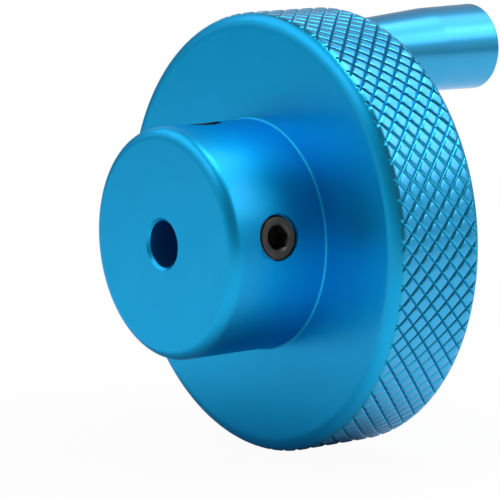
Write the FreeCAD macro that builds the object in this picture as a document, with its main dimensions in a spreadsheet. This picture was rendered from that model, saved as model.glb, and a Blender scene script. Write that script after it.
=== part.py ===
# Machine handwheel: a turned wheel with a diamond-knurled rim, a hub with two set screws
# and a crank grip that turns on a shoulder screw.
#
# The wheel turns about Y. Its hub faces -Y, the side the shaft enters, and the grip stands on
# the +Y face. The origin is on the bore's axis, halfway through the rim. Sizes are in millimetres.

import FreeCAD, Part
import Sketcher
import math
import os

SIZES = {
    # Wheel
    "wheel_diameter": 60.0,
    "rim_width": 15.0,
    "rim_round": 2.0,
    "rim_bevel_angle": 32.0,
    "rim_bevel_width": 1.4,
    "hub_diameter": 31.2,
    "hub_length": 15.5,
    "hub_round": 1.5,
    "hub_foot": 0.3,
    "bore_diameter": 6.35,
    "bore_chamfer": 0.4,
    # How far the wheel stands turned from having its side set screw on +X
    "rest_turn": 7.9,
    # Diamond knurl: V grooves that cross, with flat pads between them
    "knurl_count": 68.0,
    "knurl_pitch": 2.55,
    "knurl_depth": 0.27,
    "knurl_wall_angle": 45.0,
    "knurl_turn": 1.18,
    "knurl_shift": 0.41,
    "knurl_stock": 0.15,
    # Set screws in the hub
    "screw_diameter": 6.0,
    "screw_length": 6.0,
    "screw_chamfer": 0.3,
    "screw_setback": 7.7,
    "screw_recess": 0.1,
    "screw_key": 3.0,
    "screw_key_depth": 2.5,
    "thread_clearance": 0.05,
    # Crank grip, whose axis stands in from the rim's outside
    "handle_inset": 6.95,
    "grip_length": 26.8,
    "grip_root_diameter": 9.0,
    "grip_break_diameter": 11.8,
    "grip_end_diameter": 12.1,
    "grip_break": 17.3,
    "grip_chamfer": 0.4,
    "grip_gap": 0.2,
    "counterbore_depth": 4.5,
    # Shoulder screw inside the grip
    "spindle_diameter": 5.0,
    "spindle_clearance": 0.05,
    "spindle_end_play": 0.2,
    "spindle_thread": 4.0,
    "spindle_thread_length": 8.0,
    "spindle_hole_spare": 2.0,
    "spindle_head_diameter": 9.0,
    "spindle_head_height": 3.5,
    "spindle_head_clearance": 0.2,
    "spindle_head_chamfer": 0.3,
    "spindle_key": 2.5,
    "spindle_key_depth": 2.0,
}

doc = FreeCAD.newDocument("handwheel")
sheet = doc.addObject("Spreadsheet::Sheet", "Sizes")
for row, (alias, value) in enumerate(SIZES.items(), start=1):
    sheet.set("A%d" % row, alias)
    sheet.set("B%d" % row, str(value))
    sheet.setAlias("B%d" % row, alias)
doc.recompute()


class Size:
    """A size with its value and the sheet formula that gives it."""

    def __init__(self, value, formula):
        self.value = value
        self.formula = formula

    @staticmethod
    def of(other):
        if isinstance(other, Size):
            return other
        return Size(other, "%g" % other)

    def __add__(self, other):
        other = Size.of(other)
        return Size(self.value + other.value, "(%s + %s)" % (self.formula, other.formula))

    def __sub__(self, other):
        other = Size.of(other)
        return Size(self.value - other.value, "(%s - %s)" % (self.formula, other.formula))

    def __mul__(self, other):
        other = Size.of(other)
        return Size(self.value * other.value, "(%s * %s)" % (self.formula, other.formula))

    def __truediv__(self, other):
        other = Size.of(other)
        return Size(self.value / other.value, "(%s / %s)" % (self.formula, other.formula))

    def __neg__(self):
        return Size(-self.value, "(0 - %s)" % self.formula)


def size(alias):
    return Size(float(sheet.get(alias)), "Sizes.%s" % alias)


def tangent(angle):
    return Size(math.tan(math.radians(angle.value)), "tan(%s * 1deg)" % angle.formula)


def cosine(angle):
    return Size(math.cos(math.radians(angle.value)), "cos(%s * 1deg)" % angle.formula)


def sine(angle):
    return Size(math.sin(math.radians(angle.value)), "sin(%s * 1deg)" % angle.formula)


ZERO = Size(0.0, "0")

wheel_radius = size("wheel_diameter") / 2
hub_radius = size("hub_diameter") / 2
hub_length = size("hub_length")
rim_rear = hub_length + size("rim_width")
rim_middle = hub_length + size("rim_width") / 2
bore_radius = size("bore_diameter") / 2
screw_radius = size("screw_diameter") / 2
screw_hole_diameter = size("screw_diameter") + size("thread_clearance") * 2
spindle_hole_diameter = size("spindle_thread") + size("thread_clearance") * 2
spindle_hole_depth = size("spindle_thread_length") + size("spindle_hole_spare")
handle_radius = wheel_radius - size("handle_inset")
handle_turn = size("rest_turn") + 90


# Sketches and features

def body_named(label):
    body = doc.addObject("PartDesign::Body", label)
    body.Label = label
    return body


def origin_plane(body, role):
    return next(f for f in body.Origin.OriginFeatures if f.Role == role)


def sketch_on(body, role, name, offset=None):
    sketch = body.newObject("Sketcher::SketchObject", name)
    sketch.AttachmentSupport = [(origin_plane(body, role), "")]
    sketch.MapMode = "FlatFace"
    if offset is not None:
        sketch.setExpression("AttachmentOffset.Base.z", offset.formula)
    return sketch


def pin_point(sketch, geometry, point, across, along):
    """Hold a point of the sketch at two sizes, on an axis where one of them is zero."""
    for kind, axis, place in (("DistanceX", -2, across), ("DistanceY", -1, along)):
        if place.value == 0:
            sketch.addConstraint(Sketcher.Constraint("PointOnObject", geometry, point, axis))
        else:
            index = sketch.addConstraint(
                Sketcher.Constraint(kind, -1, 1, geometry, point, place.value))
            sketch.setExpression("Constraints[%d]" % index, place.formula)


def draw_outline(sketch, corners):
    """Closed outline of straight lines through corners, each held at its two sizes."""
    points = [FreeCAD.Vector(across.value, along.value, 0) for across, along in corners]
    count = len(points)
    lines = []
    for i in range(count):
        lines.append(sketch.addGeometry(Part.LineSegment(points[i], points[(i + 1) % count])))
    for i in range(count):
        following = lines[(i + 1) % count]
        sketch.addConstraint(Sketcher.Constraint("Coincident", lines[i], 2, following, 1))
    for line, (across, along) in zip(lines, corners):
        pin_point(sketch, line, 1, across, along)


def draw_circle(sketch, across, along, diameter):
    centre = FreeCAD.Vector(across.value, along.value, 0)
    circle = sketch.addGeometry(Part.Circle(centre, FreeCAD.Vector(0, 0, 1), diameter.value / 2))
    pin_point(sketch, circle, 3, across, along)
    index = sketch.addConstraint(Sketcher.Constraint("Diameter", circle, diameter.value))
    sketch.setExpression("Constraints[%d]" % index, diameter.formula)


def draw_hexagon(sketch, across_flats):
    """Hexagon about the sketch's origin, for a hexagon key."""
    flat = across_flats / 2
    corner = flat / cosine(Size(30.0, "30"))
    half_side = corner / 2
    draw_outline(sketch, [
        (corner, ZERO), (half_side, flat), (-half_side, flat),
        (-corner, ZERO), (-half_side, -flat), (half_side, -flat)])


def revolve(body, sketch):
    turned = body.newObject("PartDesign::Revolution", sketch.Name + "_turned")
    turned.Profile = sketch
    turned.ReferenceAxis = (sketch, ["V_Axis"])
    turned.Angle = 360.0
    doc.recompute()
    return turned


def ring_edges(feature, places):
    """Names of the circular edges about Y that have these radii and heights."""
    names = []
    for index, edge in enumerate(feature.Shape.Edges, start=1):
        curve = edge.Curve
        if curve.TypeId != "Part::GeomCircle":
            continue
        for radius, height in places:
            if abs(curve.Radius - radius.value) < 1e-4 and abs(curve.Center.y - height.value) < 1e-4:
                names.append("Edge%d" % index)
    if len(names) != len(places):
        raise RuntimeError("edges of %s not found" % feature.Name)
    return names


def dress(body, kind, name, base, places, length):
    """Fillet or chamfer on circular edges of the body's last feature."""
    feature = body.newObject("PartDesign::" + kind, name)
    feature.Base = (base, ring_edges(base, places))
    feature.setExpression("Radius" if kind == "Fillet" else "Size", length.formula)
    doc.recompute()
    return feature


def pocket(body, sketch, depth=None, towards_normal=False):
    """Cut a sketch's shape out of the body, to a depth or right through."""
    before = body.Shape.Volume
    cut = body.newObject("PartDesign::Pocket", sketch.Name + "_cut")
    cut.Profile = sketch
    cut.Reversed = towards_normal
    if depth is None:
        cut.Type = "ThroughAll"
    else:
        cut.setExpression("Length", depth.formula)
    doc.recompute()
    if body.Shape.Volume >= before - 1e-6:
        raise RuntimeError("%s cuts nothing" % cut.Name)
    return cut


def place(item, angle, x, y, z):
    """Turn an object about Y and move it, with both bound to the sheet."""
    item.Placement = FreeCAD.Placement(
        FreeCAD.Vector(x.value, y.value, z.value),
        FreeCAD.Rotation(FreeCAD.Vector(0, 1, 0), angle.value))
    item.setExpression("Placement.Rotation.Angle", angle.formula)
    for axis, length in (("x", x), ("y", y), ("z", z)):
        item.setExpression("Placement.Base." + axis, length.formula)


# Wheel

def wheel_blank():
    """Turned wheel before knurling, standing on its hub's front face along +Y."""
    body = body_named("wheel_blank")
    slope = tangent(size("rim_bevel_angle"))
    blank_radius = wheel_radius + size("knurl_stock")
    # The bevel that the knurl runs out on reaches the wheel's radius at its own width
    corner_radius = wheel_radius - size("rim_bevel_width") * slope
    bevel_reach = size("rim_bevel_width") + size("knurl_stock") / slope
    profile = sketch_on(body, "XY_Plane", "wheel_profile")
    draw_outline(profile, [
        (bore_radius, ZERO), (hub_radius, ZERO), (hub_radius, hub_length),
        (corner_radius, hub_length), (blank_radius, hub_length + bevel_reach),
        (blank_radius, rim_rear - bevel_reach), (corner_radius, rim_rear), (bore_radius, rim_rear)])
    feature = revolve(body, profile)
    feature = dress(body, "Fillet", "rim_rounds", feature,
                    [(corner_radius, hub_length), (corner_radius, rim_rear)], size("rim_round"))
    feature = dress(body, "Chamfer", "hub_foot", feature,
                    [(hub_radius, hub_length)], size("hub_foot"))
    feature = dress(body, "Fillet", "hub_edge", feature, [(hub_radius, ZERO)], size("hub_round"))
    dress(body, "Chamfer", "bore_mouths", feature,
          [(bore_radius, ZERO), (bore_radius, rim_rear)], size("bore_chamfer"))
    side = sketch_on(body, "YZ_Plane", "side_screw_hole")
    draw_circle(side, size("screw_setback"), ZERO, screw_hole_diameter)
    pocket(body, side, hub_radius, towards_normal=True)
    upper = sketch_on(body, "XY_Plane", "upper_screw_hole")
    draw_circle(upper, ZERO, size("screw_setback"), screw_hole_diameter)
    pocket(body, upper, hub_radius, towards_normal=True)
    spindle = sketch_on(body, "XZ_Plane", "spindle_hole", spindle_hole_depth - rim_rear)
    draw_circle(spindle, ZERO, handle_radius, spindle_hole_diameter)
    pocket(body, spindle)
    return body


def about_y(angle, height, radius):
    return FreeCAD.Vector(radius * math.cos(angle), height, radius * math.sin(angle))


def polygon(*corners):
    return Part.Face(Part.makePolygon(list(corners) + [corners[0]]))


def pad_half_sizes(half_angle, half_pitch):
    """Half the width and length of a pad's flat top, and the top's height above the axis.

    Seen from the pad's middle, x runs round the rim, y along it and z outwards. Each wall holds
    the groove's bottom, from the crossing at the pad's side to the one at its end, and leans in
    by the wall angle. The top's side corners lie on the wheel's diameter.
    """
    bottom = (wheel_radius - size("knurl_depth")).value
    lean = math.radians(size("knurl_wall_angle").value)
    side = FreeCAD.Vector(bottom * math.sin(half_angle), 0, bottom * math.cos(half_angle))
    end = FreeCAD.Vector(0, half_pitch, bottom)
    groove = (end - side).normalize()
    outward = FreeCAD.Vector(math.sin(half_angle / 2), 0, math.cos(half_angle / 2))
    away = groove.cross(outward).normalize()
    up_wall = outward * math.cos(lean) - away * math.sin(lean)
    normal = groove.cross(up_wall).normalize()
    reach = normal.dot(side)
    spread = normal.x ** 2 + normal.z ** 2
    drop = math.sqrt(spread * wheel_radius.value ** 2 - reach ** 2)
    top = (reach * normal.z + abs(normal.x) * drop) / spread
    left_over = reach - normal.z * top
    return left_over / normal.x, left_over / normal.y, top


def knurl_form():
    """Solid whose outside is the knurl: flat pads between V grooves that cross on the rim."""
    count = round(size("knurl_count").value)
    half_angle = math.pi / count
    half_pitch = size("knurl_pitch").value / 2
    bottom = (wheel_radius - size("knurl_depth")).value
    half_width, half_length, top = pad_half_sizes(half_angle, half_pitch)
    turn = math.radians(size("knurl_turn").value)
    middle = rim_middle.value + size("knurl_shift").value
    first_row = math.floor((hub_length.value - middle) / half_pitch) - 1
    last_row = math.ceil((rim_rear.value - middle) / half_pitch) + 1
    clear = wheel_radius.value
    front_end = -clear
    rear_end = rim_rear.value + clear
    faces = []
    rims = {front_end: [], rear_end: []}
    for row in range(first_row, last_row + 1):
        height = middle + row * half_pitch
        for step in range(count):
            angle = turn + (2 * step + row % 2) * half_angle
            outward = about_y(angle, 0, 1)
            around = about_y(angle + math.pi / 2, 0, 1)
            centre = outward * top + FreeCAD.Vector(0, height, 0)
            left = about_y(angle - half_angle, height, bottom)
            right = about_y(angle + half_angle, height, bottom)
            front = about_y(angle, height - half_pitch, bottom)
            rear = about_y(angle, height + half_pitch, bottom)
            pad_left = centre - around * half_width
            pad_right = centre + around * half_width
            pad_front = centre - FreeCAD.Vector(0, half_length, 0)
            pad_rear = centre + FreeCAD.Vector(0, half_length, 0)
            faces.append(polygon(pad_left, pad_front, pad_right, pad_rear))
            faces.append(polygon(left, front, pad_front, pad_left))
            faces.append(polygon(front, right, pad_right, pad_front))
            faces.append(polygon(right, rear, pad_rear, pad_right))
            faces.append(polygon(rear, left, pad_left, pad_rear))
            if row == first_row:
                rims[front_end] += [left, front]
            if row == last_row:
                rims[rear_end] += [left, rear]
    # Past both faces of the wheel the form goes on as a plain prism
    for end, rim in rims.items():
        cap = [FreeCAD.Vector(point.x, end, point.z) for point in rim]
        for i, point in enumerate(rim):
            faces.append(polygon(rim[i - 1], point, cap[i], cap[i - 1]))
        faces.append(polygon(*cap))
    form = doc.addObject("Part::Feature", "knurl_form")
    form.Shape = Part.makeSolid(Part.makeShell(faces))
    return form


def wheel():
    """The wheel blank, cut to the knurl's form and turned to where it stands."""
    item = doc.addObject("Part::Common", "wheel")
    item.Label = "wheel"
    item.Base = wheel_blank()
    item.Tool = knurl_form()
    item.Refine = False
    place(item, -size("rest_turn"), ZERO, -rim_middle, ZERO)
    return item


# Set screws

def set_screw(label, angle):
    """Flat-point set screw along its own Y axis, pointing out of the hub, key socket outermost."""
    body = body_named(label)
    length = size("screw_length")
    profile = sketch_on(body, "XY_Plane", label + "_profile")
    draw_outline(profile, [(ZERO, ZERO), (screw_radius, ZERO), (screw_radius, length), (ZERO, length)])
    feature = revolve(body, profile)
    dress(body, "Chamfer", label + "_ends", feature,
          [(screw_radius, ZERO), (screw_radius, length)], size("screw_chamfer"))
    socket = sketch_on(body, "XZ_Plane", label + "_socket", size("screw_key_depth") - length)
    draw_hexagon(socket, size("screw_key"))
    pocket(body, socket)
    inner_end = hub_radius - size("screw_recess") - length
    # The screw's Y axis is laid along the hole's radius
    tilt = FreeCAD.Rotation(FreeCAD.Vector(0, 0, 1), -90)
    swing = FreeCAD.Rotation(FreeCAD.Vector(0, 1, 0), -angle.value)
    body.Placement = FreeCAD.Placement(FreeCAD.Vector(), swing * tilt)
    body.setExpression("Placement.Base.x", (inner_end * cosine(angle)).formula)
    body.setExpression("Placement.Base.y", (size("screw_setback") - rim_middle).formula)
    body.setExpression("Placement.Base.z", (inner_end * sine(angle)).formula)
    return body


# Crank handle

def stand_on_rim(body, height):
    """Put a handle piece on the handle's axis, at a height above the rim's rear face."""
    place(body, -size("rest_turn"), handle_radius * cosine(handle_turn),
          size("rim_width") / 2 + height, handle_radius * sine(handle_turn))


def handle_grip():
    """Tapered grip with a bore for the spindle and a counterbore that hides its head."""
    body = body_named("handle_grip")
    length = size("grip_length")
    bore = size("spindle_diameter") / 2 + size("spindle_clearance")
    counterbore = size("spindle_head_diameter") / 2 + size("spindle_head_clearance")
    ledge = length - size("counterbore_depth")
    root = size("grip_root_diameter") / 2
    end = size("grip_end_diameter") / 2
    profile = sketch_on(body, "XY_Plane", "grip_profile")
    draw_outline(profile, [
        (bore, ZERO), (root, ZERO), (size("grip_break_diameter") / 2, size("grip_break")),
        (end, length), (counterbore, length), (counterbore, ledge), (bore, ledge)])
    feature = revolve(body, profile)
    dress(body, "Chamfer", "grip_ends", feature,
          [(root, ZERO), (end, length)], size("grip_chamfer"))
    stand_on_rim(body, size("grip_gap"))
    return body


def handle_spindle():
    """Shoulder screw: thread in the wheel, plain shoulder for the grip, socket head outermost."""
    body = body_named("handle_spindle")
    thread = size("spindle_thread") / 2
    thread_length = size("spindle_thread_length")
    shoulder = size("spindle_diameter") / 2
    head = size("spindle_head_diameter") / 2
    grip_seat = size("grip_gap") + size("grip_length") - size("counterbore_depth")
    under_head = thread_length + grip_seat + size("spindle_end_play")
    top = under_head + size("spindle_head_height")
    profile = sketch_on(body, "XY_Plane", "spindle_profile")
    draw_outline(profile, [
        (ZERO, ZERO), (thread, ZERO), (thread, thread_length), (shoulder, thread_length),
        (shoulder, under_head), (head, under_head), (head, top), (ZERO, top)])
    feature = revolve(body, profile)
    dress(body, "Chamfer", "spindle_head_edge", feature, [(head, top)], size("spindle_head_chamfer"))
    socket = sketch_on(body, "XZ_Plane", "spindle_socket", size("spindle_key_depth") - top)
    draw_hexagon(socket, size("spindle_key"))
    pocket(body, socket)
    stand_on_rim(body, -thread_length)
    return body


pieces = [
    wheel(),
    set_screw("set_screw_side", size("rest_turn")),
    set_screw("set_screw_upper", size("rest_turn") + 90),
    handle_grip(),
    handle_spindle(),
]
doc.recompute()

for item in doc.Objects:
    if "Invalid" in item.State or "Error" in item.State:
        raise RuntimeError("%s failed: %s" % (item.Label, item.State))

os.makedirs("parts", exist_ok=True)
for piece in pieces:
    if piece.Shape.isNull() or not piece.Shape.isValid() or len(piece.Shape.Solids) != 1:
        raise RuntimeError("%s is not one valid solid" % piece.Label)
    piece.Shape.exportStep(os.path.join("parts", piece.Label + ".step"))
    print(piece.Label, round(piece.Shape.Volume, 2), piece.Shape.BoundBox)
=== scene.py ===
import math
from itertools import pairwise

import bmesh
import bpy
from bpy.props import FloatProperty, FloatVectorProperty, IntProperty, PointerProperty
from bpy.types import Operator, Panel, PropertyGroup
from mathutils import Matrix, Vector


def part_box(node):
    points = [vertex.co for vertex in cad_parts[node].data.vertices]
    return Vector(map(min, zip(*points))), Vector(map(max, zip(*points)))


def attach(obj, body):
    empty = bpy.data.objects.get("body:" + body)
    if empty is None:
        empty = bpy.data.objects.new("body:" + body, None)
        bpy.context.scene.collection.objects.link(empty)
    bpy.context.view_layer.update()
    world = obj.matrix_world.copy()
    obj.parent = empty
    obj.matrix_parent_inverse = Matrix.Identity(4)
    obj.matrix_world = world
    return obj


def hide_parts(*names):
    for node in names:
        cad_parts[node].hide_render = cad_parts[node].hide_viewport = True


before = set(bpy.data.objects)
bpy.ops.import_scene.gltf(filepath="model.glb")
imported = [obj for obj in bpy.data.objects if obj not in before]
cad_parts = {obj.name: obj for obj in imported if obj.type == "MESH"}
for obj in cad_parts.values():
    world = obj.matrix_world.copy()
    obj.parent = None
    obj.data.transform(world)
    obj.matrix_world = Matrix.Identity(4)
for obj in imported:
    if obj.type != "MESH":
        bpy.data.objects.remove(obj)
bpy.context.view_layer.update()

bl_info = {
    "name": "Machine handwheel",
    "version": (1, 0, 0),
    "blender": (4, 5, 0),
    "location": "3D View > Sidebar > Handwheel",
    "description": "Models a knurled handwheel with its set screws and its crank grip",
    "category": "Add Mesh",
}

# The pieces are drawn in millimetres and brought down to metres when they are finished
DRAWN_PER_METRE = 1000.0
# Vertices closer than this are one, in drawn millimetres, and a bisecting cut sees closer still
WELD = 0.002
CUT_REACH = WELD / 10
# Faces that meet at less than this angle are shaded as one surface
SMOOTH_ANGLE = math.radians(32)


def length(name, millimetres, description):
    """A length that the user may change."""
    return FloatProperty(
        name=name, description=description, default=millimetres / DRAWN_PER_METRE,
        min=0.0, precision=5, subtype="DISTANCE", unit="LENGTH")


def angle(name, degrees, description):
    """An angle that the user may change."""
    return FloatProperty(
        name=name, description=description, default=math.radians(degrees),
        subtype="ANGLE", unit="ROTATION")


def colour(name, value, description):
    """A colour that the user may change."""
    return FloatVectorProperty(
        name=name, description=description, default=value, size=3, min=0.0, max=1.0,
        subtype="COLOR")


def mm(metres):
    return metres * DRAWN_PER_METRE


class HandwheelSizes(PropertyGroup):
    """Sizes of the wheel, its set screws and its crank grip."""

    wheel_diameter: length("Wheel diameter", 60.0, "Outside diameter over the knurl")
    rim_width: length("Rim width", 15.0, "Length of the rim along the shaft")
    rim_round: length("Rim round", 2.0, "Radius of the round on both edges of the rim")
    hub_diameter: length("Hub diameter", 31.2, "Outside diameter of the hub")
    hub_length: length("Hub length", 15.5, "How far the hub stands in front of the rim")
    hub_round: length("Hub round", 1.5, "Radius of the round on the hub's front edge")
    hub_foot: length("Hub foot", 0.3, "Radius of the fillet where the hub meets the disc")
    bore_diameter: length("Bore diameter", 6.35, "Diameter of the shaft bore")
    bore_chamfer: length("Bore chamfer", 0.4, "Chamfer on both mouths of the bore")
    rest_turn: angle("Turn at rest", 7.9, "How far the side set screw stands above the level")
    knurl_count: IntProperty(
        name="Knurl count", description="Diamonds round the rim", default=68, min=12, max=120)
    knurl_pitch: length("Knurl pitch", 2.55, "Length of a diamond along the rim")
    knurl_depth: length("Knurl depth", 0.27, "Depth of the V grooves")
    knurl_soften: length("Knurl edge", 0.20, "Round on the edges of the diamonds' flat tops")
    knurl_turn: angle("Knurl turn", 9.08, "Where round the rim a diamond has its middle")
    knurl_shift: length("Knurl shift", 0.41, "How far a diamond's middle lies behind the rim's")
    screw_diameter: length("Set screw diameter", 6.0, "Outside diameter of the set screws' thread")
    screw_pitch: length("Set screw pitch", 1.0, "Pitch of the set screws' thread")
    screw_length: length("Set screw length", 6.0, "Length of a set screw")
    screw_setback: length("Set screw setback", 7.7, "From the hub's front face to the screws")
    screw_recess: length("Set screw recess", 0.1, "How far a screw's end lies below the hub")
    screw_key: length("Set screw key", 3.0, "Hexagon key of the set screws, across the flats")
    screw_key_depth: length("Set screw key depth", 2.5, "Depth of the set screws' sockets")
    screw_key_turn: angle("Set screw key turn", 10.0, "How far the set screws are turned at rest")
    thread_clearance: length("Thread clearance", 0.05, "Room between a screw and its hole")
    handle_inset: length("Handle inset", 6.95, "From the rim's outside in to the grip's axis")
    grip_length: length("Grip length", 26.8, "Length of the crank grip")
    grip_gap: length("Grip gap", 0.2, "Gap between the grip and the rim's rear face")
    grip_root_diameter: length("Grip root", 9.0, "Diameter of the grip next to the rim")
    grip_break_diameter: length("Grip break", 11.8, "Diameter of the grip where its taper changes")
    grip_end_diameter: length("Grip end", 12.1, "Diameter of the grip at its free end")
    grip_break: length("Grip break place", 17.3, "From the grip's root to where its taper changes")
    grip_chamfer: length("Grip chamfer", 0.4, "Chamfer on both ends of the grip")
    counterbore_depth: length("Counterbore depth", 4.5, "Depth of the recess for the spindle head")
    spindle_diameter: length("Spindle diameter", 5.0, "Diameter of the shoulder the grip turns on")
    spindle_clearance: length("Spindle clearance", 0.05, "Room between the shoulder and the grip")
    spindle_end_play: length("Spindle end play", 0.2, "Room under the spindle's head")
    spindle_thread: length("Spindle thread", 4.0, "Outside diameter of the spindle's thread")
    spindle_pitch: length("Spindle pitch", 0.7, "Pitch of the spindle's thread")
    spindle_thread_length: length("Spindle thread length", 8.0, "Length of the spindle's thread")
    spindle_hole_spare: length("Spindle hole spare", 2.0, "Hole left beyond the spindle's thread")
    spindle_head_diameter: length("Spindle head", 9.0, "Diameter of the spindle's head")
    spindle_head_height: length("Spindle head height", 3.5, "Height of the spindle's head")
    spindle_head_clearance: length("Head clearance", 0.2, "Room round the spindle's head")
    spindle_key: length("Spindle key", 2.5, "Hexagon key of the spindle, across the flats")
    spindle_key_depth: length("Spindle key depth", 2.0, "Depth of the spindle's socket")


class HandwheelColours(PropertyGroup):
    """Colours of the finishes."""

    anodised: colour("Anodised blue", (0.003, 0.41, 0.78), "Dyed oxide on the aluminium")
    # Painted shade: a darker blue that stands in for the shade in the knurl's grooves
    groove: colour("Groove blue", (0.003, 0.30, 0.44), "Dye that gathers in the knurl's grooves")
    oxide: colour("Black oxide", (0.105, 0.098, 0.088), "Blackened steel of the set screws")
    steel: colour("Bright steel", (0.58, 0.57, 0.55), "Turned steel of the spindle")
    floor: colour("Floor", (0.86, 0.86, 0.86), "Paper that the wheel stands on")


# Hand tools

def clear_selection():
    if bpy.context.object is not None and bpy.context.object.mode != "OBJECT":
        bpy.ops.object.mode_set(mode="OBJECT")
    bpy.ops.object.select_all(action="DESELECT")


def take(piece):
    """Make one piece the only selected and active one."""
    clear_selection()
    piece.select_set(True)
    bpy.context.view_layer.objects.active = piece


def edit(piece):
    """Open one piece in edit mode with everything in it selected."""
    take(piece)
    bpy.ops.object.mode_set(mode="EDIT")
    bpy.ops.mesh.select_mode(type="VERT")
    bpy.ops.mesh.select_all(action="SELECT")


def leave():
    bpy.ops.object.mode_set(mode="OBJECT")


def pick(piece, test):
    """Select in edit mode the vertices whose place passes a test."""
    drawing = bmesh.from_edit_mesh(piece.data)
    for vert in drawing.verts:
        vert.select = bool(test(vert.co))
    drawing.select_flush_mode()
    bmesh.update_edit_mesh(piece.data)


def move(x=0.0, y=0.0, z=0.0):
    bpy.ops.transform.translate(value=(x, y, z))


def extrude(x=0.0, y=0.0, z=0.0):
    bpy.ops.mesh.extrude_region_move(TRANSFORM_OT_translate={"value": (x, y, z)})


def weld_and_face_out():
    """Join doubled vertices and turn all faces outwards, in edit mode."""
    bpy.ops.mesh.select_all(action="SELECT")
    bpy.ops.mesh.remove_doubles(threshold=WELD)
    bpy.ops.mesh.normals_make_consistent(inside=False)


def modify(piece, kind, **settings):
    """Give a piece one modifier with these settings and apply it."""
    take(piece)
    bpy.ops.object.modifier_add(type=kind)
    modifier = piece.modifiers[-1]
    for name, value in settings.items():
        setattr(modifier, name, value)
    bpy.ops.object.modifier_apply(modifier=modifier.name)


def cut(piece, tool, operation="DIFFERENCE"):
    """Cut a piece with a tool, which is used up."""
    modify(piece, "BOOLEAN", object=tool, operation=operation, solver="EXACT")
    take(tool)
    bpy.ops.object.delete()


def settle(piece):
    """Write a piece's place, turn and scale into its mesh."""
    take(piece)
    bpy.ops.object.transform_apply(location=True, rotation=True, scale=True)


def turned(name, profile, segments):
    """Turn a closed profile of (radius, height) corners round the Z axis."""
    clear_selection()
    bpy.ops.mesh.primitive_plane_add(size=1.0)
    piece = bpy.context.object
    piece.name = name
    edit(piece)
    bpy.ops.mesh.merge(type="CENTER")
    move(x=profile[0][0], z=profile[0][1])
    for (radius, height), (next_radius, next_height) in pairwise(profile):
        extrude(x=next_radius - radius, z=next_height - height)
    first, last = (Vector((radius, 0.0, height)) for radius, height in (profile[0], profile[-1]))
    pick(piece, lambda place: min((place - first).length, (place - last).length) < WELD)
    bpy.ops.mesh.edge_face_add()
    bpy.ops.mesh.select_all(action="SELECT")
    bpy.ops.mesh.spin(steps=segments, angle=math.tau, center=(0, 0, 0), axis=(0, 0, 1))
    weld_and_face_out()
    leave()
    return piece


def arc(centre, radius, start, end, steps):
    """Corners of an arc in a profile, from one angle in degrees to another, without its start."""
    corners = []
    for step in range(1, steps + 1):
        turn = math.radians(start + (end - start) * step / steps)
        corners.append((centre[0] + radius * math.cos(turn), centre[1] + radius * math.sin(turn)))
    return corners


def between(start, end, distance):
    """Corner of a profile at a distance from one corner towards another."""
    start, end = Vector(start), Vector(end)
    return tuple(start + (end - start).normalized() * distance)


def threaded_rod(name, root, crest, pitch, height, sides, steps):
    """Closed rod along Z with a thread: a cam-shaped section carried up and round."""
    clear_selection()
    bpy.ops.mesh.primitive_circle_add(vertices=sides, radius=root, fill_type="NOTHING")
    rod = bpy.context.object
    rod.name = name
    settle(rod)
    edit(rod)
    # A quarter of the section stays at the root and an eighth at the crest
    flank_start = math.tau * 3 / 8
    flank_end = math.tau / 16
    rises = round(sides * (flank_start - flank_end) / math.tau)
    radius = root
    for rise in range(rises):
        limit = flank_start - (flank_start - flank_end) * rise / rises
        higher = root + (crest - root) * (rise + 1) / rises
        pick(rod, lambda place: abs(math.atan2(place.y, place.x)) < limit)
        scale = higher / radius
        bpy.ops.transform.resize(value=(scale, scale, 1.0), center_override=(0, 0, 0))
        radius = higher
    leave()
    turns = math.ceil(height / pitch)
    modify(rod, "SCREW", axis="Z", screw_offset=pitch, iterations=turns,
           steps=steps, render_steps=steps)
    edit(rod)
    bpy.ops.mesh.remove_doubles(threshold=WELD)
    for end in (0.0, turns * pitch):
        pick(rod, lambda place: abs(place.z - end) < WELD)
        bpy.ops.mesh.edge_face_add()
    weld_and_face_out()
    leave()
    return rod


# Key sockets: the drill is as wide as most of the flats and leaves a cone, and the bevel of the
# mouth reaches a little past the corners
KEY_DRILL_SHARE = 0.98
KEY_DRILL_SLOPE = math.radians(31)
KEY_MOUTH_SHARE = 1.10
KEY_MOUTH_SLOPE = math.radians(48)
KEY_SEGMENTS = 48


def hexagon_key(name, across_flats, depth, bottom, turn=0.0):
    """Cutter for a key socket: a hexagon with a drilled cone below and a bevelled mouth."""
    corner = across_flats / math.sqrt(3)
    clear_selection()
    bpy.ops.mesh.primitive_cylinder_add(
        vertices=6, radius=corner, depth=2 * depth, location=(0, 0, bottom + depth),
        rotation=(0, 0, turn))
    key = bpy.context.object
    key.name = name
    settle(key)
    drill_radius = across_flats / 2 * KEY_DRILL_SHARE
    drill_depth = drill_radius * math.tan(KEY_DRILL_SLOPE)
    drill_top = bottom + depth / 2
    drill = turned(name + "_drill", [
        (0.0, bottom - drill_depth), (drill_radius, bottom), (drill_radius, drill_top),
        (0.0, drill_top)], KEY_SEGMENTS)
    cut(key, drill, "UNION")
    surface = bottom + depth
    mouth = corner * KEY_MOUTH_SHARE
    mouth_depth = mouth * math.tan(KEY_MOUTH_SLOPE)
    bevel = turned(name + "_mouth", [
        (0.0, surface - mouth_depth), (mouth * 2, surface + mouth_depth),
        (0.0, surface + mouth_depth)], KEY_SEGMENTS)
    cut(key, bevel, "UNION")
    return key


def point_along(piece, turn, inner_end, y):
    """Lay a piece drawn along Z on a radius of the hub, from its inner end outwards."""
    piece.rotation_euler = (0.0, math.pi / 2 - turn, 0.0)
    piece.location = (inner_end * math.cos(turn), y, inner_end * math.sin(turn))
    settle(piece)


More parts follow.
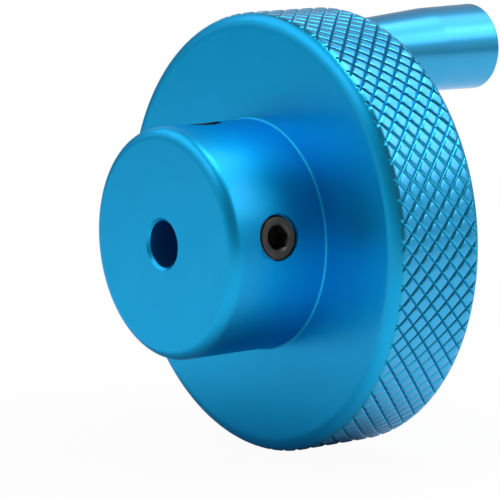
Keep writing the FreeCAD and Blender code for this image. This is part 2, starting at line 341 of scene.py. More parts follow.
def stand_behind(piece, sizes, y):
    """Put a piece drawn along Z on the crank grip's axis, with its foot at a place along Y."""
    turn = sizes.rest_turn + math.pi / 2
    radius = mm(sizes.wheel_diameter / 2 - sizes.handle_inset)
    piece.rotation_euler = (-math.pi / 2, 0.0, 0.0)
    piece.location = (radius * math.cos(turn), y, radius * math.sin(turn))
    settle(piece)


def hand_over(piece, body, node, finish):
    """Bring a drawn piece down to metres, smooth it, and let it stand for its CAD node."""
    piece.scale = (1.0 / DRAWN_PER_METRE,) * 3
    settle(piece)
    bpy.ops.object.shade_smooth_by_angle(angle=SMOOTH_ANGLE)
    modify(piece, "WEIGHTED_NORMAL", keep_sharp=True, weight=50)
    piece.data.materials.clear()
    piece.data.materials.append(finish)
    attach(piece, body)
    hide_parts(node)


# Finishes

class Value:
    """A node's output. Sums of it add Math nodes to its finish."""

    def __init__(self, finish, socket):
        self.finish = finish
        self.socket = socket

    def math(self, operation, first, second):
        return self.finish.node("ShaderNodeMath", {"operation": operation}, {0: first, 1: second})

    def __add__(self, other):
        return self.math("ADD", self, other)

    def __radd__(self, other):
        return self.math("ADD", other, self)

    def __sub__(self, other):
        return self.math("SUBTRACT", self, other)

    def __rsub__(self, other):
        return self.math("SUBTRACT", other, self)

    def __mul__(self, other):
        return self.math("MULTIPLY", self, other)

    def __rmul__(self, other):
        return self.math("MULTIPLY", other, self)

    def __pow__(self, other):
        return self.math("POWER", self, other)

    def largest(self, other):
        return self.math("MAXIMUM", self, other)


class Finish:
    """A node tree of a material or of the world, built one node at a time."""

    def __init__(self, owner):
        owner.use_nodes = True
        self.owner = owner
        self.tree = owner.node_tree
        self.tree.nodes.clear()

    def node(self, kind, settings=None, inputs=None, output=0):
        """Add a node, set it up, give its sockets values or links, and return one output."""
        made = self.tree.nodes.new(kind)
        for name, value in (settings or {}).items():
            setattr(made, name, value)
        for name, value in (inputs or {}).items():
            if isinstance(value, Value):
                self.tree.links.new(value.socket, made.inputs[name])
            else:
                made.inputs[name].default_value = value
        return Value(self, made.outputs[output]) if made.outputs else None

    def place(self, centre=(0.0, 0.0, 0.0), turn=0.0):
        """Object coordinates turned about the Y axis, then seen from a point."""
        coordinates = self.node("ShaderNodeTexCoord", output="Object")
        return self.node("ShaderNodeMapping", {"vector_type": "POINT"}, {
            "Vector": coordinates, "Rotation": (0.0, turn, 0.0),
            "Location": tuple(-number for number in centre)})

    def split(self, vector):
        """The three numbers of a vector."""
        made = self.node("ShaderNodeSeparateXYZ", inputs={"Vector": vector}).socket.node
        return [Value(self, socket) for socket in made.outputs]

    def noise(self, vector, scale, detail=2.0, dimensions="3D"):
        return self.node("ShaderNodeTexNoise", {"noise_dimensions": dimensions}, {
            "Vector": vector, "Scale": scale, "Detail": detail}, "Fac")

    def ramp(self, value, low, high):
        """0 below low, 1 above high, smooth in between."""
        return self.node("ShaderNodeMapRange", {"interpolation_type": "SMOOTHSTEP"}, {
            "Value": value, "From Min": low, "From Max": high})

    def mix(self, share, first, second):
        """Colour between two, by a share."""
        return self.node("ShaderNodeMix", {"data_type": "RGBA"}, {
            0: share, 6: first, 7: second}, 2)

    def surface(self, shader):
        self.node("ShaderNodeOutputMaterial", inputs={"Surface": shader})
        return self.owner


def opaque(tint, depth=1.0):
    """A colour as sockets take it, made darker by a factor."""
    return (*(depth * part for part in tint), 1.0)


# Knurl finish: heights over the grooves' bottom, in metres, between which polish and the painted
# groove shade fade out
WALL_FADE = (0.00019, 0.00025)
GROOVE_SHADE_FADE = (0.00005, 0.00024)
# How far before the knurl's end its polish, seal and painted groove shade begin to fade out, in
# metres
KNURL_FADE = 0.0006
# How dark the painted shade in the bottoms is, how much smoother the walls are and how much seal
# the tops carry
GROOVE_SHADE = 0.75
WALL_POLISH = 0.16
KNURL_SEAL = 0.8


def blue_anodised(name, colours, centre, roughness, seal, shade_tone, knurl_bottom=None, knurl_end=None):
    """Satin blue aluminium: fine blasting over faint turning marks, with painted shade in the
    grooves and, by a tone factor, over the whole blue.
    """
    finish = Finish(bpy.data.materials.new(name))
    place = finish.place(centre)
    x, y, z = finish.split(place)
    radius = (x * x + z * z) ** 0.5
    lathe = finish.node("ShaderNodeCombineXYZ", inputs={"X": radius, "Y": y})
    turning = finish.noise(lathe, scale=5200.0, detail=3.0, dimensions="2D")
    blasting = finish.noise(place, scale=5600.0, detail=2.0)
    cloud = finish.noise(place, scale=160.0, detail=3.0)
    # Painted shade: the shade tone darkens the blue of a part that is to look less lit
    tint = finish.mix(finish.ramp(cloud, 0.35, 0.65),
                      opaque(colours.anodised, 0.97 * shade_tone), opaque(colours.anodised, shade_tone))
    roughness = roughness - 0.06 + 0.07 * blasting + 0.05 * turning
    if knurl_bottom is not None:
        # The knurling wheel leaves the groove walls smoother, and the groove bottoms are painted
        # with shade, a darker blue
        across = 1.0 - finish.ramp((y * y) ** 0.5, knurl_end - KNURL_FADE, knurl_end)
        wall, bottom = (
            across * (1.0 - finish.ramp(radius, knurl_bottom + low, knurl_bottom + high))
            for low, high in (WALL_FADE, GROOVE_SHADE_FADE))
        tint = finish.mix(bottom * GROOVE_SHADE, tint, opaque(colours.groove))
        roughness = roughness - WALL_POLISH * wall
        seal = seal + KNURL_SEAL * across * (1.0 - bottom)
    height = 0.7 * blasting + 0.5 * turning
    bump = finish.node("ShaderNodeBump", inputs={
        "Strength": 0.24, "Distance": 0.00003, "Height": height})
    return finish.surface(finish.node("ShaderNodeBsdfPrincipled", inputs={
        "Base Color": tint, "Metallic": 1.0, "Roughness": roughness, "Normal": bump,
        "Specular Tint": (0.35, 0.75, 1.0, 1.0),
        "Coat Weight": seal, "Coat Roughness": 0.22, "Coat IOR": 1.5}))


# Black finish: painted shade, as shares of the oxide's tone, on a screw in shade and in a socket,
# and how far below the screw's end the socket's shade begins and has its full tone, in metres
SHADED_SCREW_TONE = 0.25
SOCKET_SHADE_TONE = 0.15
SOCKET_SHADE_FADE = (0.0001, 0.0004)
# How the brown cast changes the tone's red, green and blue
BROWN_CAST = (1.15, 1.05, 0.95)


def black_oxide(name, colours, axis_turn, setback, end, socket, lit_share):
    """Blackened steel: dark grey with a brown cast and a fine tooth, with painted shade in the
    socket and, darker and duller, on a screw in shade.
    """
    finish = Finish(bpy.data.materials.new(name))
    place = finish.place((0.0, setback, 0.0), axis_turn)
    x, y, z = finish.split(place)
    cloud = finish.noise(place, scale=700.0, detail=3.0)
    tooth = finish.noise(place, scale=9000.0, detail=2.0)
    # Painted shade: a screw with no lit share gets a darker, duller copy of the oxide
    black = [(SHADED_SCREW_TONE + (1.0 - SHADED_SCREW_TONE) * lit_share) * part for part in colours.oxide]
    brown = [cast * part for cast, part in zip(BROWN_CAST, black)]
    tint = finish.mix(finish.ramp(cloud, 0.4, 0.7), opaque(black), opaque(brown))
    # Painted shade: the key socket's inside is mixed towards near black
    inside = 1.0 - finish.ramp((x * x + y * y) ** 0.5, socket, socket * 1.1)
    below = 1.0 - finish.ramp(z, end - SOCKET_SHADE_FADE[1], end - SOCKET_SHADE_FADE[0])
    tint = finish.mix(0.85 * inside * below, tint, opaque(colours.oxide, SOCKET_SHADE_TONE))
    bump = finish.node("ShaderNodeBump", inputs={
        "Strength": 0.15, "Distance": 0.00002, "Height": tooth})
    return finish.surface(finish.node("ShaderNodeBsdfPrincipled", inputs={
        "Base Color": tint, "Metallic": 0.4 * lit_share, "Roughness": 0.28 + 0.12 * cloud,
        "Normal": bump, "Specular IOR Level": 0.0, "Specular Tint": (0.1, 0.1, 0.1, 1.0)}))


def bright_steel(name, colours, centre):
    """Turned steel with fine rings left by the lathe."""
    finish = Finish(bpy.data.materials.new(name))
    place = finish.place(centre)
    x, y, z = finish.split(place)
    lathe = finish.node("ShaderNodeCombineXYZ", inputs={"X": (x * x + z * z) ** 0.5, "Y": y})
    turning = finish.noise(lathe, scale=7000.0, detail=4.0, dimensions="2D")
    cloud = finish.noise(place, scale=500.0, detail=3.0)
    tint = finish.mix(finish.ramp(cloud, 0.3, 0.7),
                      opaque(colours.steel, 0.82), opaque(colours.steel))
    bump = finish.node("ShaderNodeBump", inputs={
        "Strength": 0.12, "Distance": 0.00002, "Height": turning})
    return finish.surface(finish.node("ShaderNodeBsdfPrincipled", inputs={
        "Base Color": tint, "Metallic": 1.0, "Roughness": 0.2 + 0.15 * turning, "Normal": bump}))


def seen_by(finish):
    """1 where the ray comes from the camera, from metal or through glass, as three values."""
    path = finish.node("ShaderNodeLightPath").socket.node
    return [Value(finish, path.outputs[name])
            for name in ("Is Camera Ray", "Is Glossy Ray", "Is Transmission Ray")]


# Floor: how white the camera sees it by the wheel, and its tone in shade as a share of its colour
FLOOR_WHITE = 0.96
FLOOR_SHADE = 0.35
# Where the wheel's shade on the floor has its middle, and how far out it fades, in metres
SHADE_MIDDLE = (-0.01, -0.01)
SHADE_FADE = (0.02, 0.055)
# Direction, seen from above, in which the white glow that metal sees on the paper fades sooner,
# and how much sooner: painted light
GLOW_SHORT_SIDE = (0.79, 0.61)
GLOW_SHORTER = 0.3


def white_paper(name, colours):
    """Paper floor that is white to the camera and in metal and still takes the wheel's shadow."""
    finish = Finish(bpy.data.materials.new(name))
    x, y, _ = finish.split(finish.place())
    distance = (x * x + y * y) ** 0.5
    far = finish.ramp(distance, 0.06, 0.40)
    outer_shade = finish.ramp(distance, 0.25, 0.70)
    # Metal sees a painted white glow on the paper, which fades into the wheel's shade in front and
    # into the room further out
    left, front = x - SHADE_MIDDLE[0], y - SHADE_MIDDLE[1]
    shade = 1.0 - finish.ramp((left * left + front * front) ** 0.5, *SHADE_FADE)
    rear_right = (GLOW_SHORT_SIDE[0] * x + GLOW_SHORT_SIDE[1] * y).largest(0.0)
    reach = distance + GLOW_SHORTER * rear_right
    near = (1.0 - shade) * (1.0 - finish.ramp(reach, 0.13, 0.55))
    # Painted shade: the paper's colour darkens in the wheel's shade and further out from the wheel
    tint = finish.mix(outer_shade + 0.6 * shade,
                      opaque(colours.floor), opaque(colours.floor, FLOOR_SHADE))
    paper = finish.node("ShaderNodeBsdfDiffuse", inputs={"Color": tint})
    white = finish.node("ShaderNodeEmission", inputs={"Strength": 1.0})
    camera, glossy, through = seen_by(finish)
    share = (camera + through) * (FLOOR_WHITE + (1.0 - FLOOR_WHITE) * far) + glossy * near
    return finish.surface(finish.node("ShaderNodeMixShader", inputs={
        0: share, 1: paper, 2: white}))


# Wheel

def knurl_strip(sizes):
    """The knurl laid out flat: Z runs round the rim, Y along it and -X points outwards."""
    radius = mm(sizes.wheel_diameter) / 2
    half_width = math.pi * radius / sizes.knurl_count
    half_pitch = mm(sizes.knurl_pitch) / 2
    depth = mm(sizes.knurl_depth)
    rows = math.ceil(mm(sizes.rim_width) / (2 * half_pitch)) + 2
    # The bend carries a height Z to the angle of a half turn less Z over the radius
    first = (radius * (math.pi - sizes.knurl_turn)) % (2 * half_width)
    lowest = mm(sizes.knurl_shift) - half_pitch * 2 * (rows // 2)
    clear_selection()
    bpy.ops.mesh.primitive_circle_add(
        vertices=4, radius=1.0, fill_type="NGON", rotation=(0.0, -math.pi / 2, 0.0))
    strip = bpy.context.object
    strip.name = "knurled_wheel"
    settle(strip)
    edit(strip)
    bpy.ops.transform.resize(value=(1.0, half_pitch, half_width), center_override=(0, 0, 0))
    move(depth, lowest, first)
    bpy.ops.mesh.inset(thickness=depth, depth=depth, use_even_offset=True)
    bpy.ops.mesh.bevel(offset=mm(sizes.knurl_soften), segments=2, profile=0.5, affect="EDGES")
    bpy.ops.mesh.select_all(action="SELECT")
    bpy.ops.mesh.duplicate_move(
        TRANSFORM_OT_translate={"value": (0.0, half_pitch, half_width)})
    leave()
    copies = (sizes.knurl_count, (0, 0, 2 * half_width)), (rows, (0, 2 * half_pitch, 0))
    for count, offset in copies:
        modify(strip, "ARRAY", count=count, use_relative_offset=False, use_constant_offset=True,
               constant_offset_displace=offset, use_merge_vertices=True, merge_threshold=WELD)
    return strip


# Angles on the rim's round, from its outside, at which the flat knurl gets a line
ROUND_LINES = (0.0, 5.0, 10.0, 14.0, 18.0, 21.0, 24.0, 27.0, 30.0, 34.0)
# Angle on the round past which the grooves have run out
ROUND_TRIM = 40.0
# The bar that gauges the rounds is this much longer than the rim is round
GAUGE_SPARE = 1.2
# Where the turned body starts, vertices closer than a diamond's width over this are merged
KNURL_THIN = 6
# Rings that hold a turned edge stand this far from it: on the disc, on the hub and at the bore
DISC_RING = 0.4
HUB_RING = 0.3
BORE_RING = 0.2
# Rings that divide a long turned wall stand this far from its ends
HUB_STEP = 3.0
BORE_STEP = 4.0


def trim_to_rounds(strip, sizes):
    """Cut the flat knurl to the rim's width and lay its ends on the rim's rounds."""
    rim_round = mm(sizes.rim_round)
    flat_end = mm(sizes.rim_width) / 2 - rim_round
    trim = flat_end + rim_round * math.sin(math.radians(ROUND_TRIM))
    edit(strip)
    for side in (-1.0, 1.0):
        bpy.ops.mesh.select_all(action="SELECT")
        bpy.ops.mesh.bisect(plane_co=(0, side * trim, 0), plane_no=(0, side, 0),
                            clear_outer=True, threshold=CUT_REACH)
        for line in ROUND_LINES:
            height = flat_end + rim_round * math.sin(math.radians(line))
            bpy.ops.mesh.select_all(action="SELECT")
            bpy.ops.mesh.bisect(plane_co=(0, side * height, 0), plane_no=(0, 1, 0),
                                threshold=CUT_REACH)
    leave()
    # A bar with the rim's rounds takes down whatever stands above them
    span = math.tau * mm(sizes.wheel_diameter) / 2
    thick = 4 * rim_round
    clear_selection()
    bpy.ops.mesh.primitive_cube_add(
        size=1.0, location=(thick / 2, 0.0, span / 2),
        scale=(thick, mm(sizes.rim_width), span * GAUGE_SPARE))
    gauge = bpy.context.object
    settle(gauge)
    edit(gauge)
    pick(gauge, lambda place: place.x < WELD)
    bpy.ops.mesh.bevel(offset=rim_round, segments=64, profile=0.5, affect="EDGES")
    leave()
    modify(strip, "SHRINKWRAP", target=gauge, wrap_method="PROJECT", use_project_x=True,
           use_positive_direction=True, use_negative_direction=False, project_limit=rim_round)
    take(gauge)
    bpy.ops.object.delete()
    return trim


def bend_round(strip, sizes):
    """Bend the flat knurl into a ring about the Y axis."""
    radius = mm(sizes.wheel_diameter) / 2
    heights = [vert.co.z for vert in strip.data.vertices]
    modify(strip, "SIMPLE_DEFORM", deform_method="BEND", deform_axis="Y",
           angle=(max(heights) - min(heights)) / radius)
    edit(strip)
    move(x=-radius)
    weld_and_face_out()
    leave()


def turn_on(profile, thin_out):
    """Carry the selected ring on through a turned profile of (radius, place along Y) corners.

    The first new ring keeps only vertices that are some way apart, because the knurl has many.
    """
    for number, ((radius, y), (next_radius, next_y)) in enumerate(pairwise(profile)):
        extrude(y=next_y - y)
        scale = next_radius / radius
        bpy.ops.transform.resize(value=(scale, 1.0, scale), center_override=(0, 0, 0))
        if number == 0:
            bpy.ops.mesh.remove_doubles(threshold=thin_out)


def turn_body(wheel, sizes, trim):
    """Turn the rest of the wheel on from both edges of the knurl and close it in the bore."""
    rim_round = mm(sizes.rim_round)
    face = mm(sizes.rim_width) / 2
    flat_end = face - rim_round
    shoulder = mm(sizes.wheel_diameter) / 2 - rim_round
    hub = mm(sizes.hub_diameter) / 2
    foot = mm(sizes.hub_foot)
    hub_round = mm(sizes.hub_round)
    hub_face = -face - mm(sizes.hub_length)
    bore = mm(sizes.bore_diameter) / 2
    chamfer = mm(sizes.bore_chamfer)
    foot_end, round_start = -face - foot, hub_face + hub_round
    mouth = bore + chamfer
    bore_start, bore_end = hub_face + chamfer, face - chamfer
    start = (shoulder + rim_round * math.cos(math.radians(ROUND_TRIM)), trim)
    over_edge = arc((shoulder, flat_end), rim_round, ROUND_TRIM, 90.0, steps=8)
    front = [(radius, -y) for radius, y in [start] + over_edge]
    front += [(shoulder - DISC_RING, -face), ((shoulder + hub) / 2, -face),
              (hub + foot + HUB_RING, -face), (hub + foot, -face)]
    front += arc((hub + foot, foot_end), foot, 90.0, 180.0, steps=4)
    front += [(hub, foot_end - HUB_RING), (hub, foot_end - HUB_STEP),
              (hub, round_start + HUB_STEP), (hub, round_start + HUB_RING), (hub, round_start)]
    front += arc((hub - hub_round, round_start), hub_round, 0.0, -90.0, steps=10)
    front += [(hub - hub_round - HUB_RING, hub_face), ((hub + bore) / 2, hub_face),
              (mouth + BORE_RING, hub_face), (mouth, hub_face),
              (bore, bore_start), (bore, bore_start + BORE_RING),
              (bore, hub_face + BORE_STEP), (bore, face - BORE_STEP),
              (bore, bore_end - BORE_RING), (bore, bore_end)]
    rear = [start] + over_edge
    rear += [(shoulder - DISC_RING, face), (hub, face), (mouth + BORE_RING, face), (mouth, face)]
    edit(wheel)
    for profile in (front, rear):
        pick(wheel, lambda place: abs(place.y - profile[0][1]) < WELD)
        turn_on(profile, math.pi * mm(sizes.wheel_diameter) / sizes.knurl_count / KNURL_THIN)
    ends = [Vector(front[-1]), Vector(rear[-1])]
    pick(wheel, lambda place: min(
        (Vector((math.hypot(place.x, place.z), place.y)) - end).length for end in ends) < WELD)
    bpy.ops.mesh.bridge_edge_loops()
    weld_and_face_out()
    leave()


# Tapped holes: the thread starts this far outside the plain hole and ends at this share of the
# pitch outside it, so that the flats of the tap clear the screw's crests at any travel
TAP_ROOM = 0.07
TAP_DEPTH = 0.2
# How far the tap reaches out of the hub
TAP_SPARE = 2.0
# Countersunk mouth of a tapped hole, as places beyond the hole's wall and above the hub
TAP_MOUTH = ((-0.1, -1.0), (-0.1, -0.18), (1.0, 0.92), (1.0, 1.5))
# Spindle hole: height of the drill's point as a share of its radius, and half the mouth's bevel
DRILL_POINT = 0.6
DRILL_MOUTH = 0.4


def drill_wheel(wheel, sizes):
    """Tap the holes for the set screws and drill the one for the spindle."""
    face = mm(sizes.rim_width) / 2
    hub = mm(sizes.hub_diameter) / 2
    wall = mm(sizes.screw_diameter / 2 + sizes.thread_clearance)
    setback = mm(sizes.screw_setback) - face - mm(sizes.hub_length)
    pitch = mm(sizes.screw_pitch)
    for turn in (sizes.rest_turn, sizes.rest_turn + math.pi / 2):
        tap = threaded_rod("tap", wall + TAP_ROOM, wall + TAP_DEPTH * pitch, pitch,
                           height=hub + TAP_SPARE, sides=30, steps=20)
        profile = [(wall + out, hub + up) for out, up in TAP_MOUTH]
        bottom, top = profile[0][1], profile[-1][1]
        mouth = turned("mouth", [(0.0, bottom), *profile, (0.0, top)], segments=64)
        for tool in (tap, mouth):
            point_along(tool, turn, 0.0, setback)
            cut(wheel, tool)
    hole = mm(sizes.spindle_thread / 2 + sizes.thread_clearance)
    depth = mm(sizes.spindle_thread_length + sizes.spindle_hole_spare)
    drill = turned("drill", [
        (0.0, -depth - hole * DRILL_POINT), (hole, -depth), (hole, -DRILL_MOUTH),
        (hole + 2 * DRILL_MOUTH, DRILL_MOUTH), (0.0, DRILL_MOUTH)], segments=40)
    stand_behind(drill, sizes, face)
    cut(wheel, drill)


class HANDWHEEL_OT_wheel(Operator):
    """Knurl, bend, turn and drill the wheel"""

    bl_idname = "handwheel.wheel"
    bl_label = "Wheel"

    def execute(self, context):
        sizes = context.scene.handwheel_sizes
        wheel = knurl_strip(sizes)
        trim = trim_to_rounds(wheel, sizes)
        bend_round(wheel, sizes)
        turn_body(wheel, sizes, trim)
        drill_wheel(wheel, sizes)
        groove_bottom = sizes.wheel_diameter / 2 - sizes.knurl_depth
        finish = blue_anodised(
            "wheel_blue", context.scene.handwheel_colours, centre=(0.0, 0.0, 0.0),
            roughness=0.43, seal=0.20, shade_tone=1.0,
            knurl_bottom=groove_bottom, knurl_end=trim / DRAWN_PER_METRE)
        hand_over(wheel, "wheel_body", "wheel", finish)
        return {"FINISHED"}


# Set screws

# Depth of a screw's thread and height of a set screw's chamfers, as shares of the pitch
THREAD_DEPTH = 0.55
SCREW_CHAMFER = 0.52
# What is taken off the crests of a thread
CREST_FLAT = 0.01
# A set screw's plain end: its radius and that of its root as shares of the thread's, and the
# height of its taper and the round on its edge as shares of the pitch
END_RADIUS = 0.9
END_ROOT = 0.8
END_TAPER = 0.4
END_ROUND = 0.16
# The socket's painted shade reaches a little past the hexagon's corners
SOCKET_SHADE_REACH = 1.05


class HANDWHEEL_OT_set_screws(Operator):
    """Cut both set screws and screw them into the hub"""

    bl_idname = "handwheel.set_screws"
    bl_label = "Set screws"

    def execute(self, context):
        sizes = context.scene.handwheel_sizes
        crest = mm(sizes.screw_diameter) / 2
        pitch = mm(sizes.screw_pitch)
        height = mm(sizes.screw_length)
        chamfer = SCREW_CHAMFER * pitch
        screw = threaded_rod("set_screw", crest - THREAD_DEPTH * pitch, crest, pitch,
                             height=height + pitch, sides=36, steps=18)
        screw.location = (0.0, 0.0, -pitch / 2)
        settle(screw)
        envelope = turned("envelope", [
            (0.0, 0.0), (crest - chamfer, 0.0), (crest - CREST_FLAT, chamfer),
            (crest - CREST_FLAT, height - chamfer), (crest - chamfer, height), (0.0, height)],
            segments=96)
        cut(screw, envelope, "INTERSECT")
        # The thread runs out below a flat end with a rounded edge
        rim, edge = END_RADIUS * crest, END_ROUND * pitch
        end = [(0.0, height - pitch), (END_ROOT * crest, height - pitch),
               (rim, height - END_TAPER * pitch), (rim, height - edge)]
        end += arc((rim - edge, height - edge), edge, 0.0, 90.0, steps=4) + [(0.0, height)]
        cut(screw, turned("end", end, segments=96), "UNION")
        cut(screw, hexagon_key("key", mm(sizes.screw_key), mm(sizes.screw_key_depth),
                               height - mm(sizes.screw_key_depth), sizes.screw_key_turn))
        inner_end = mm(sizes.hub_diameter) / 2 - mm(sizes.screw_recess) - height
        setback = mm(sizes.screw_setback - sizes.rim_width / 2 - sizes.hub_length)
        take(screw)
        bpy.ops.object.duplicate(linked=False)
        twin = bpy.context.object
        # Painted shade: the upper screw gets the dark, dull copy of the oxide, for the shade it
        # sits in
        for piece, side, turn, lit_share in ((screw, "side", sizes.rest_turn, 1.0),
                                          (twin, "upper", sizes.rest_turn + math.pi / 2, 0.0)):
            piece.name = side + "_set_screw"
            point_along(piece, turn, inner_end, setback)
            finish = black_oxide(
                side + "_screw_black", context.scene.handwheel_colours, turn - math.pi / 2,
                setback / DRAWN_PER_METRE, sizes.hub_diameter / 2 - sizes.screw_recess,
                sizes.screw_key / math.sqrt(3) * SOCKET_SHADE_REACH, lit_share)
            hand_over(piece, side + "_screw", "set_screw_" + side, finish)
        return {"FINISHED"}


# Crank handle

# Rings that hold the grip's edges stand this far from its ends and from its break
GRIP_END_RING = 0.3
GRIP_BREAK_RING = 0.2
# Spindle: the neck between thread and shoulder lies this far under the crests, its core starts
# this far inside the thread, and its cone is this long
NECK_DEPTH = 0.4
CORE_LENGTH = 2.0
NECK_CONE = 0.5
# The groove under the spindle's head
GROOVE_WIDTH = 0.4
GROOVE_DEPTH = 0.15
# Chamfer on the thread's end, and where the thread stops before the shoulder, in three places
POINT_CHAMFER = 0.5
THREAD_STOPS = (0.9, 0.7, 0.6)


def handle_axis(sizes):
    """Where the crank grip's axis crosses the rim's middle plane, in metres."""
    turn = sizes.rest_turn + math.pi / 2
    radius = sizes.wheel_diameter / 2 - sizes.handle_inset
    return radius * math.cos(turn), 0.0, radius * math.sin(turn)


class HANDWHEEL_OT_grip(Operator):
    """Turn the crank grip and stand it behind the rim"""

    bl_idname = "handwheel.grip"
    bl_label = "Crank grip"

    def execute(self, context):
        sizes = context.scene.handwheel_sizes
        high = mm(sizes.grip_length)
        chamfer = mm(sizes.grip_chamfer)
        bore = mm(sizes.spindle_diameter / 2 + sizes.spindle_clearance)
        recess = mm(sizes.spindle_head_diameter / 2 + sizes.spindle_head_clearance)
        ledge = high - mm(sizes.counterbore_depth)
        root = mm(sizes.grip_root_diameter) / 2
        end = mm(sizes.grip_end_diameter) / 2
        line = mm(sizes.grip_break_diameter) / 2, mm(sizes.grip_break)
        foot, tip = (root, chamfer), (end, high - chamfer)
        grip = turned("crank_grip", [
            (bore, 0.0), (root - chamfer, 0.0), foot, between(foot, line, GRIP_END_RING),
            between(line, foot, GRIP_BREAK_RING), line, between(line, tip, GRIP_BREAK_RING),
            between(tip, line, GRIP_END_RING), tip, (end - chamfer, high), (recess, high),
            (recess, ledge), (bore, ledge)], segments=128)
        modify(grip, "BEVEL", width=0.08, segments=3, limit_method="ANGLE",
               angle_limit=math.radians(20))
        stand_behind(grip, sizes, mm(sizes.rim_width / 2 + sizes.grip_gap))
        # Painted shade: the grip gets the wheel's blue darkened by a shade tone
        finish = blue_anodised(
            "grip_blue", context.scene.handwheel_colours, centre=handle_axis(sizes),
            roughness=0.31, seal=0.95, shade_tone=0.88)
        hand_over(grip, "grip", "handle_grip", finish)
        return {"FINISHED"}


class HANDWHEEL_OT_spindle(Operator):
    """Turn the shoulder screw that the crank grip runs on"""

    bl_idname = "handwheel.spindle"
    bl_label = "Spindle"

    def execute(self, context):
        sizes = context.scene.handwheel_sizes
        thread = mm(sizes.spindle_thread) / 2
        pitch = mm(sizes.spindle_pitch)
        foot = mm(sizes.spindle_thread_length)
        shoulder = mm(sizes.spindle_diameter) / 2
        head = mm(sizes.spindle_head_diameter) / 2
        seat = foot + mm(sizes.grip_gap + sizes.grip_length - sizes.counterbore_depth
                         + sizes.spindle_end_play)
        top = seat + mm(sizes.spindle_head_height)
        neck, groove = thread - NECK_DEPTH, shoulder - GROOVE_DEPTH
        spindle = turned("grip_spindle", [
            (0.0, foot - CORE_LENGTH), (neck, foot - CORE_LENGTH), (neck, foot - NECK_CONE),
            (shoulder, foot), (shoulder, seat - GROOVE_WIDTH), (groove, seat - GROOVE_WIDTH),
            (groove, seat), (head, seat), (head, top), (0.0, top)], segments=96)
        modify(spindle, "BEVEL", width=0.12, segments=3, limit_method="ANGLE",
               angle_limit=math.radians(40))
        rod = threaded_rod("thread", thread - THREAD_DEPTH * pitch, thread, pitch,
                           height=foot, sides=24, steps=12)
        crest_stop, neck_stop, end_stop = (foot - stop for stop in THREAD_STOPS)
        envelope = turned("envelope", [
            (0.0, 0.0), (thread - POINT_CHAMFER, 0.0), (thread - CREST_FLAT, POINT_CHAMFER),
            (thread - CREST_FLAT, crest_stop), (neck, neck_stop), (neck, end_stop),
            (0.0, end_stop)], segments=64)
        cut(rod, envelope, "INTERSECT")
        cut(spindle, rod, "UNION")
        cut(spindle, hexagon_key("key", mm(sizes.spindle_key), mm(sizes.spindle_key_depth),
                                 top - mm(sizes.spindle_key_depth)))
        stand_behind(spindle, sizes, mm(sizes.rim_width) / 2 - foot)
        finish = bright_steel("spindle_steel", context.scene.handwheel_colours, handle_axis(sizes))
        hand_over(spindle, "wheel_body", "handle_spindle", finish)
        return {"FINISHED"}


# Stage

# Where the camera stands, in degrees round and above the wheel and in metres from it
CAMERA_AZIMUTH = 52.307
CAMERA_ELEVATION = 9.181
CAMERA_DISTANCE = 0.4339
# Its lens and the width of its sensor, in millimetres, and the nearest thing it sees, in metres
CAMERA_LENS = 230.0
CAMERA_SENSOR = 36.0
CAMERA_NEAREST = 0.01
# The point it looks at: on the wheel's axis, then moved across and up the picture
CAMERA_AIM = (0.0, -0.00739, 0.0)
CAMERA_ACROSS = -0.00064
CAMERA_UP = -0.00218


def add_camera():
    azimuth, elevation = math.radians(CAMERA_AZIMUTH), math.radians(CAMERA_ELEVATION)
    back = Vector((math.sin(azimuth) * math.cos(elevation),
                   -math.cos(azimuth) * math.cos(elevation), math.sin(elevation)))
    right = Vector((math.cos(azimuth), math.sin(azimuth), 0.0))
    aim = Vector(CAMERA_AIM) + CAMERA_ACROSS * right + CAMERA_UP * back.cross(right)
    bpy.ops.object.camera_add(location=aim + CAMERA_DISTANCE * back)
    camera = bpy.context.object
    camera.rotation_euler = (-back).to_track_quat("-Z", "Y").to_euler()
    camera.data.lens = CAMERA_LENS
    camera.data.sensor_width = CAMERA_SENSOR
    camera.data.clip_start = CAMERA_NEAREST
    bpy.context.scene.camera = camera


# Side of the floor, in metres
FLOOR_SIZE = 6.0
# Softboxes: name, place, width and height in metres, and brightness as it is seen
SOFTBOXES = (
    ("top_softbox", (0.05, 0.06, 0.75), 0.34, 0.34, 4.80),
    ("rear_softbox", (0.15, 0.53, 0.60), 0.55, 0.40, 1.20),
    ("rear_strip", (0.06, 0.34, 0.73), 0.34, 0.16, 3.00),
    ("right_softbox", (0.495, 0.448, 0.450), 0.50, 0.32, 1.95),
    ("front_softbox", (-0.40, -0.39, 0.575), 1.10, 0.50, 1.30),
    ("front_fill", (-0.515, -0.57, 0.22), 0.90, 0.28, 0.60),
    ("front_top_softbox", (0.05, -0.54, 0.65), 0.35, 0.30, 1.20),
    ("left_softbox", (-0.66, 0.30, 0.34), 0.35, 0.40, 0.45),
)
# Brightness of the room round them
ROOM = 0.24
# Share of the white background that metal sees behind the wheel, and what is left of it on the
# left, where the room is darker
BEHIND = 0.55
BEHIND_LEFT = 0.45


def add_softbox(name, place, width, height, brightness):
    """Area light that faces the wheel."""
    bpy.ops.object.light_add(type="AREA", location=place)
    lamp = bpy.context.object
    lamp.name = name
    lamp.rotation_euler = (-Vector(place)).to_track_quat("-Z", "Y").to_euler()
    lamp.data.shape = "RECTANGLE"
    lamp.data.size = width
    lamp.data.size_y = height
    lamp.data.energy = brightness * math.pi * width * height


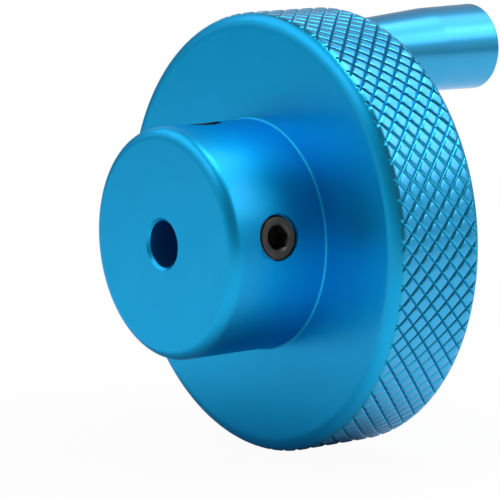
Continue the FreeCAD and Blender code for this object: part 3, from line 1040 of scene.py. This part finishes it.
def light_room(scene):
    """A grey room whose background is white to the camera and pale to metal behind the wheel."""
    world = bpy.data.worlds.new("studio")
    scene.world = world
    sky = Finish(world)
    camera, glossy, through = seen_by(sky)
    direction = sky.node("ShaderNodeTexCoord", output="Generated")
    across, along, _ = sky.split(direction)
    right = sky.ramp(across, -0.75, -0.1)
    behind = sky.ramp(along, 0.1, 0.6) * (BEHIND_LEFT + (1.0 - BEHIND_LEFT) * right)
    white = camera + through + BEHIND * glossy * behind
    shade = sky.mix(white, (ROOM, ROOM, ROOM, 1.0), (1.0, 1.0, 1.0, 1.0))
    light = sky.node("ShaderNodeBackground", inputs={"Color": shade, "Strength": 1.0})
    sky.node("ShaderNodeOutputWorld", inputs={"Surface": light})


class HANDWHEEL_OT_stage(Operator):
    """Lay the floor, set the lights and point the camera"""

    bl_idname = "handwheel.stage"
    bl_label = "Stage"

    def execute(self, context):
        low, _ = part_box("wheel")
        clear_selection()
        bpy.ops.mesh.primitive_plane_add(size=FLOOR_SIZE, location=(0.0, 0.0, low.z))
        floor = bpy.context.object
        floor.name = "floor"
        settle(floor)
        floor.data.materials.append(white_paper("floor_paper", context.scene.handwheel_colours))
        for softbox in SOFTBOXES:
            add_softbox(*softbox)
        add_camera()
        light_room(context.scene)
        context.scene.view_settings.view_transform = "Standard"
        return {"FINISHED"}


class HANDWHEEL_PT_panel(Panel):
    """Lists the pieces and the sizes and colours behind them"""

    bl_idname = "HANDWHEEL_PT_panel"
    bl_label = "Machine handwheel"
    bl_space_type = "VIEW_3D"
    bl_region_type = "UI"
    bl_category = "Handwheel"

    def draw(self, context):
        for step in STEPS:
            self.layout.operator(step.bl_idname)
        for group in (context.scene.handwheel_sizes, context.scene.handwheel_colours):
            column = self.layout.column(align=True)
            for name in group.__annotations__:
                column.prop(group, name)


STEPS = (
    HANDWHEEL_OT_wheel,
    HANDWHEEL_OT_set_screws,
    HANDWHEEL_OT_grip,
    HANDWHEEL_OT_spindle,
    HANDWHEEL_OT_stage,
)
CLASSES = (HandwheelSizes, HandwheelColours, *STEPS, HANDWHEEL_PT_panel)


def register():
    for item in CLASSES:
        bpy.utils.register_class(item)
    bpy.types.Scene.handwheel_sizes = PointerProperty(type=HandwheelSizes)
    bpy.types.Scene.handwheel_colours = PointerProperty(type=HandwheelColours)


def unregister():
    del bpy.types.Scene.handwheel_colours
    del bpy.types.Scene.handwheel_sizes
    for item in reversed(CLASSES):
        bpy.utils.unregister_class(item)


def main():
    register()
    bpy.ops.handwheel.wheel()
    bpy.ops.handwheel.set_screws()
    bpy.ops.handwheel.grip()
    bpy.ops.handwheel.spindle()
    bpy.ops.handwheel.stage()
    clear_selection()


if __name__ == "__main__":
    main()
